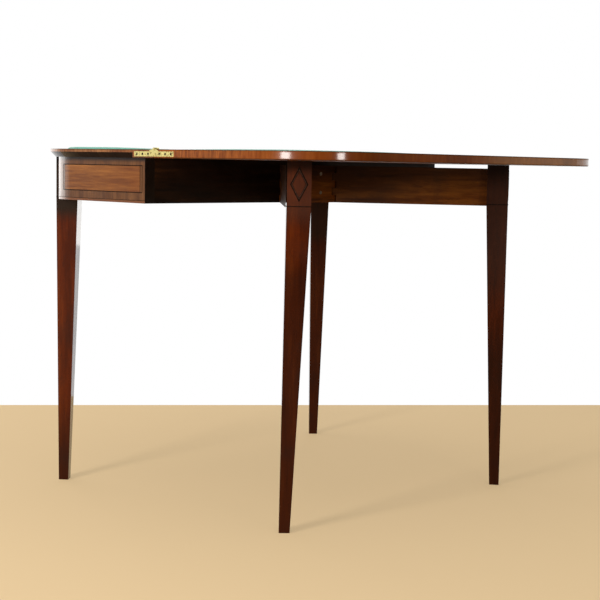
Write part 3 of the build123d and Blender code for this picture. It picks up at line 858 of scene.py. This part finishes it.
end_span = (leg_middle + leg_half + panel_leg_margin, frieze_reach - panel_back_margin)
front_reach = leg_middle - leg_half - front_panel_margin
for where, (start, end), (run_start, run_end) in (
    ("left", (-end_span[1], -end_span[0]), (-frieze_reach, -(leg_middle + leg_half))),
    ("front", (-front_reach, front_reach), (-(leg_middle - leg_half), leg_middle - leg_half)),
    ("right", end_span, (leg_middle + leg_half, frieze_reach)),
):
    panel = mesh_piece(
        "frieze_panel_" + where,
        *frieze_skin(start, end, panel_low, panel_high, veneer_proud, *panel_grid),
    )
    panel.data.materials.append(frieze_panel)
    half = line_width / 2
    strips = [
        frieze_skin(start - second_line, end + second_line, z - half, z + half, line_proud, *long_line_grid)
        for z in (panel_low, panel_high)
    ]
    for x in (start, end, start - second_line, end + second_line):
        upright = (x - half / 2, x + half / 2, panel_low, panel_high)
        strips.append(frieze_skin(*upright, line_proud, *upright_line_grid))
    run = (run_start, run_end, edge_line - edge_line_width / 2, edge_line + edge_line_width / 2)
    strips.append(frieze_skin(*run, line_proud, *long_line_grid))
    stringing = mesh_piece("frieze_stringing_" + where, *joined(strips))
    stringing.data.materials.append(dark_line)
    for piece in (panel, stringing):
        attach(piece, "table")


# Carcase behind the frieze
# The back rail, cross rail and glue blocks are plain wood without polish, coloured nearly black, partly as
# old dark wood and partly as painted shade, since they stand in the shadow of the top; they are planed with
# the grain and never meant to be seen. Steel screws in pockets hold the top down.
# Painted shade: the tone that rails darken to, the heights over which it grows close under the top, and the
# back rail's shaded middle
rail_shade_tone = (0.004, 0.0015, 0.0005, 1)
rail_top_shade_span = (0.640, 0.715)
carcase_colours = ((0.007, 0.0024, 0.0008, 1), (0.020, 0.007, 0.0022, 1), (0.050, 0.019, 0.006, 1))
back_rail_shade_spot = ((0.0, 0.0475), 0.30, 0.44, 0.6)
steel_tones = ((0.26, 0.23, 0.20, 1), (0.06, 0.04, 0.03, 1))


def plain_wood(name, scale, tones, gloss, grime, turn=0.0, shade_spot=None, top_shade=0.0):
    """Unpolished wood whose fibres run along the axis with the smallest scale. Painted shade may darken it
    round a point in plan, given with two distances from it between which the shade fades out and the shade's
    strength, and close under the top, by a given share."""
    material, tree, output = new_material(name)
    grain = grained(tree, stretched(tree, scale, turn=turn), tones, streaks=0.9, pores=0.5)
    colour = grain.outputs["Color"]
    place = on_object(tree)
    # Painted shade, darker close under the top
    if top_shade:
        top_shading = ramp_between(tree, axes(tree, place)["Z"], *rail_top_shade_span)
        colour = tinted(tree, colour, rail_shade_tone, top_shading, top_shade)
    # Painted shade round a point in plan, fading out between two distances
    if shade_spot:
        source, near, far, strength = shade_spot
        in_plan = vector_math(tree, "MULTIPLY", place, (1, 1, 0))
        ends = {0: in_plan, 1: (*source, 0)}
        reach = add_node(tree, "ShaderNodeVectorMath", ends, operation="DISTANCE").outputs["Value"]
        colour = tinted(tree, colour, rail_shade_tone, ramp_between(tree, reach, far, near), strength)
    finish_wood(tree, output, colour, grain.outputs["Height"], gloss, grime, coat=0.0, relief=0.5, shine=0.12)
    return material


back_rail_wood = plain_wood(
    "back_rail_wood", (1.5, 12.0, 12.0), carcase_colours, gloss=0.42, grime=0.4, shade_spot=back_rail_shade_spot
)
cross_rail_wood = plain_wood("cross_rail_wood", (12.0, 1.5, 12.0), carcase_colours, gloss=0.6, grime=0.4)
glue_block_wood = plain_wood("glue_block_wood", (9.0, 9.0, 12.0), carcase_colours, gloss=0.7, grime=0.4)
dull_steel = brass_material("dull_steel", *steel_tones, roughness=0.42)
dress("back_rail", back_rail_wood)
dress("cross_rail", cross_rail_wood)
dress("glue_blocks", glue_block_wood)
dress("pocket_screws", dull_steel)


# Legs
# Solid mahogany, square at the frieze and tapered to the foot, polished dark. The outer face of
# each block has a lozenge of dark and light stringing, and a thin dark band runs round the foot
# of the block.
leg_tones = ((0.074, 0.0105, 0.0009, 1), (0.115, 0.0170, 0.0015, 1), (0.170, 0.0300, 0.0028, 1))
leg_grain = (16.0, 16.0, 1.3)
grain_shift_per_metre = 40
leg_shade = (0.012, 0.004, 0.002, 1)
foot_shade_span = (0.05, 0.0)
foot_shade = 0.5
# Painted reflection: a grey haze on the upper part of a leg
grey_haze_tone = (0.033, 0.041, 0.037, 1)
haze_span = (0.36, 0.56)
# Painted shade: three legs take a dark block tone for the shade under the frieze; the fourth takes a greyer
# tone on its block
block_shade_tone = (0.020, 0.011, 0.006, 1)
greyer_block_tone = (0.079, 0.032, 0.019, 1)
block_fade = 0.04
# Painted shade on the legs close under the top
leg_top_shade_tone = (0.004, 0.002, 0.001, 1)
leg_top_shade_full = 0.716
inner_face_tone = (0.007, 0.004, 0.002, 1)
inner_face_edge = (0.0008, 0.0003)
grazing_look = (0.60, 0.78)
lozenge_width = 0.0285
lozenge_height = 0.055
lozenge_middle = 0.678
lozenge_dark_line = 0.0020
lozenge_light_line = 0.0009
band_height = 0.6358
band_width = 0.0018
gate_leg_shut = (0.4485, 0.0235)
block_proud = 0.003
# darkness is partly painted shade: the legs on the right, further from the window on the left, are painted
# darker
leg_looks = {
    "front_leg_left": dict(
        taper=(0.75, 0.30, 0.04), darkness=0.24, haze=0.0,
        block=(block_shade_tone, 0.98, 0.575), unpolished_and_shaded=0.0, top_shade_start=0.690,
    ),
    "front_leg_right": dict(
        taper=(0.65, 0.50, 0.26), darkness=0.62, haze=0.0,
        block=(block_shade_tone, 0.7, 0.500), unpolished_and_shaded=0.0, top_shade_start=0.690,
    ),
    "gate_leg_left": dict(
        taper=(0.70, 0.59, 0.49), darkness=0.18, haze=0.0,
        block=(greyer_block_tone, 0.5, 0.592), unpolished_and_shaded=0.9, top_shade_start=0.690,
    ),
    "gate_leg_right": dict(
        taper=(0.72, 0.50, 0.26), darkness=0.40, haze=0.34,
        block=(block_shade_tone, 0.20, 0.575), unpolished_and_shaded=0.9, top_shade_start=0.655,
    ),
}


def leg_material(name, seat, taper, darkness, haze, block, unpolished_and_shaded, top_shade_start):
    """Mahogany with fibres up the leg. taper is how much darker it goes and between which two heights, and
    darkness the least that it is; darkness is partly painted shade. Then come a grey painted haze that stands
    in for reflection, the block's tone, its share and the height where it starts, the block's inner face,
    without polish and in painted shade, and painted shade close under the top. The block's tone is painted
    shade under the frieze on three legs and a greyer tone on the fourth. The worn polish is dull seen square
    on and glossy at a grazing look."""
    material, tree, output = new_material(name)
    from_middle = vector_math(tree, "SUBTRACT", on_object(tree), (*seat[:2, 2], 0))
    turn = np.arctan2(seat[1, 0], seat[0, 0])
    turned = add_node(tree, "ShaderNodeMapping", {"Vector": from_middle, "Rotation": (0, 0, -turn)})
    in_leg = turned.outputs[0]
    own_grain = (*seat[:2, 2] * grain_shift_per_metre, 0)
    fibres = vector_math(tree, "MULTIPLY_ADD", in_leg, leg_grain, own_grain)
    grain = grained(tree, fibres, leg_tones, streaks=0.8, pores=0.7)
    spot = axes(tree, in_leg)
    level = spot["Z"]
    strength, upper, lower = taper
    tapering = calculate(tree, "MULTIPLY", ramp_between(tree, level, upper, lower), strength)
    foot = calculate(tree, "MULTIPLY", ramp_between(tree, level, *foot_shade_span), foot_shade)
    shade = calculate(tree, "MAXIMUM", calculate(tree, "MAXIMUM", tapering, foot), darkness)
    colour = tinted(tree, grain.outputs["Color"], leg_shade, shade)
    colour = tinted(tree, colour, grey_haze_tone, ramp_between(tree, level, *haze_span), haze)
    block_tone, block_share, block_start = block
    in_block = ramp_between(tree, level, block_start, block_start + block_fade)
    colour = tinted(tree, colour, block_tone, in_block, block_share)
    # Painted shade close under the top
    top_shading = ramp_between(tree, level, top_shade_start, leg_top_shade_full)
    colour = tinted(tree, colour, leg_top_shade_tone, top_shading, strength=0.85)
    # The inner face of the block: wood without polish, and painted shade
    inner_face = ramp_between(tree, spot["Y"], *(leg_block / 2 - edge for edge in inner_face_edge))
    inner_face = calculate(tree, "MULTIPLY", inner_face, calculate(tree, "GREATER_THAN", level, frieze_low))
    colour = tinted(tree, colour, inner_face_tone, inner_face, unpolished_and_shaded)
    facing = add_node(tree, "ShaderNodeLayerWeight", {"Blend": 0.5}).outputs["Facing"]
    coat = calculate(tree, "ADD", ramp_between(tree, facing, *grazing_look), 0.05)
    height = grain.outputs["Height"]
    finish_wood(tree, output, colour, height, gloss=0.34, grime=0.3, coat=coat, relief=0.25, shine=0.05)
    return material


def seat_matrix(x, y, turn):
    """Plan place and turn of a leg as a 3x3 matrix on (x, y, 1)."""
    return np.array([[np.cos(turn), -np.sin(turn), x], [np.sin(turn), np.cos(turn), y], [0, 0, 1]])


def gate_seat(side):
    """Seat of a gate leg where it stands open, side -1 left or +1 right. The gate is drawn shut
    against the back rail and turned about its pin by the joint's upper limit."""
    joint_name = "gate_left_swing" if side < 0 else "gate_right_swing"
    joint = next(joint for joint in frame["joints"] if joint["name"] == joint_name)
    pin = np.array(joint["pos_m"][:2])
    shut = np.array([side * gate_leg_shut[0], gate_leg_shut[1]])
    turn = -side * np.radians(joint["range_deg"][1])
    swing = seat_matrix(0, 0, turn)[:2, :2]
    x, y = pin + swing @ (shut - pin)
    return seat_matrix(x, y, turn)


def box_strip(seat, centre, along, half_length, half_width, normal, proud):
    """A thin bar on a leg's face, in the seat's own axes: its long direction, the face's normal
    and its middle are given, and it stands proud of the face by as much as it is sunk."""
    along = np.array(along, float) / np.linalg.norm(along)
    normal = np.array(normal, float)
    across = np.cross(normal, along)
    corners = np.array([
        (s, t, u) for u in (-1, 1) for s, t in ((-1, -1), (1, -1), (1, 1), (-1, 1))
    ], float)
    local = (
        np.array(centre)
        + corners[:, :1] * half_length * along
        + corners[:, 1:2] * half_width * across
        + corners[:, 2:] * proud * normal
    )
    points = local.copy()
    points[:, :2] = local[:, :2] @ seat[:2, :2].T + seat[:2, 2]
    faces = np.array([(3, 2, 1, 0), (4, 5, 6, 7), (0, 1, 5, 4), (1, 2, 6, 5), (2, 3, 7, 6), (3, 0, 4, 7)])
    return points, faces


def lozenge(seat, side, grow, half_width, proud):
    """Four bars round a rhombus on the outer face of a leg block, grown by an amount."""
    wide = lozenge_width / 2 + grow
    tall = lozenge_height / 2 + grow * lozenge_height / lozenge_width
    face_x = side * leg_block / 2
    bars = []
    for across in (-1, 1):
        for up in (-1, 1):
            start = np.array([face_x, across * wide, lozenge_middle])
            end = np.array([face_x, 0, lozenge_middle + up * tall])
            direction = end - start
            half_length = np.linalg.norm(direction) / 2 + half_width
            middle = (start + end) / 2
            bars.append(box_strip(seat, middle, direction, half_length, half_width, (side, 0, 0), proud))
    return joined(bars)


def block_band(seat):
    """A thin dark band round the four faces of the block, just above where the taper starts."""
    bars = []
    for normal in ((1, 0, 0), (-1, 0, 0), (0, 1, 0), (0, -1, 0)):
        normal = np.array(normal, float)
        along = np.cross((0, 0, 1), normal)
        centre = normal * leg_block / 2 + np.array([0, 0, band_height])
        bars.append(box_strip(seat, centre, along, leg_block / 2, band_width / 2, normal, line_proud))
    return joined(bars)


leg_corner_reach = frieze_corner + block_proud - leg_block / 2
front_leg_x = corner_start + leg_corner_reach * np.cos(leg_turn)
front_leg_y = frieze_front - frieze_corner + leg_corner_reach * np.sin(leg_turn)
for node_name, side, body, seat in (
    ("front_leg_left", -1, "table", seat_matrix(-front_leg_x, front_leg_y, -leg_turn)),
    ("front_leg_right", 1, "table", seat_matrix(front_leg_x, front_leg_y, leg_turn)),
    ("gate_leg_left", -1, "gate_left", gate_seat(-1)),
    ("gate_leg_right", 1, "gate_right", gate_seat(1)),
):
    leg_wood = leg_material(node_name + "_mahogany", seat, **leg_looks[node_name])
    dress(node_name, leg_wood)
    for line_name, grow, half_width, line_material in (
        ("outer_line", lozenge_dark_line, lozenge_dark_line / 2, dark_line),
        ("middle_line", 0.0, lozenge_light_line / 2, light_line),
        ("inner_line", -lozenge_light_line, lozenge_light_line / 2, dark_line),
    ):
        piece = mesh_piece(
            f"{node_name}_lozenge_{line_name}",
            *lozenge(seat, side, grow, half_width, line_proud),
        )
        piece.data.materials.append(line_material)
        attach(piece, body)
    band = mesh_piece(node_name + "_band", *block_band(seat))
    band.data.materials.append(dark_line)
    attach(band, body)


# Gates
# The rails that carry the leaf are a yellower wood, planed and rubbed with wax, with fingers cut
# at the hinge that turn on a steel pin. Each swings with its leg, so its grain follows it.
gate_colours = ((0.064, 0.0165, 0.0012, 1), (0.150, 0.0410, 0.0038, 1), (0.250, 0.0800, 0.0090, 1))
gate_grain = (1.6, 14.0, 14.0)
gate_gloss = 0.40
gate_pin_place = (0.074, 0.036)
# Painted shade darkens the hinge rail and the gate rails close under the top, and each gate rail towards its
# pin; the left rail, deep under the leaf, all along its length
hinge_rail_wood = plain_wood("hinge_rail_wood", gate_grain, gate_colours, gate_gloss, grime=0.5, top_shade=0.86)
dress("hinge_rail", hinge_rail_wood)
for side, word, shade_spot in ((-1, "left", (0.46, 0.60, 0.88)), (1, "right", (0.04, 0.30, 0.6))):
    seat = gate_seat(side)
    pin = (side * gate_pin_place[0], gate_pin_place[1])
    gate_wood = plain_wood(
        f"gate_rail_{word}_wood",
        gate_grain,
        gate_colours,
        gate_gloss,
        grime=0.35,
        turn=-np.arctan2(seat[1, 0], seat[0, 0]),
        shade_spot=(pin, *shade_spot),
        top_shade=0.72,
    )
    dress("gate_rail_" + word, gate_wood)
    dress("gate_pin_" + word, dull_steel)
dress("hinge_rail_screws", dull_steel)
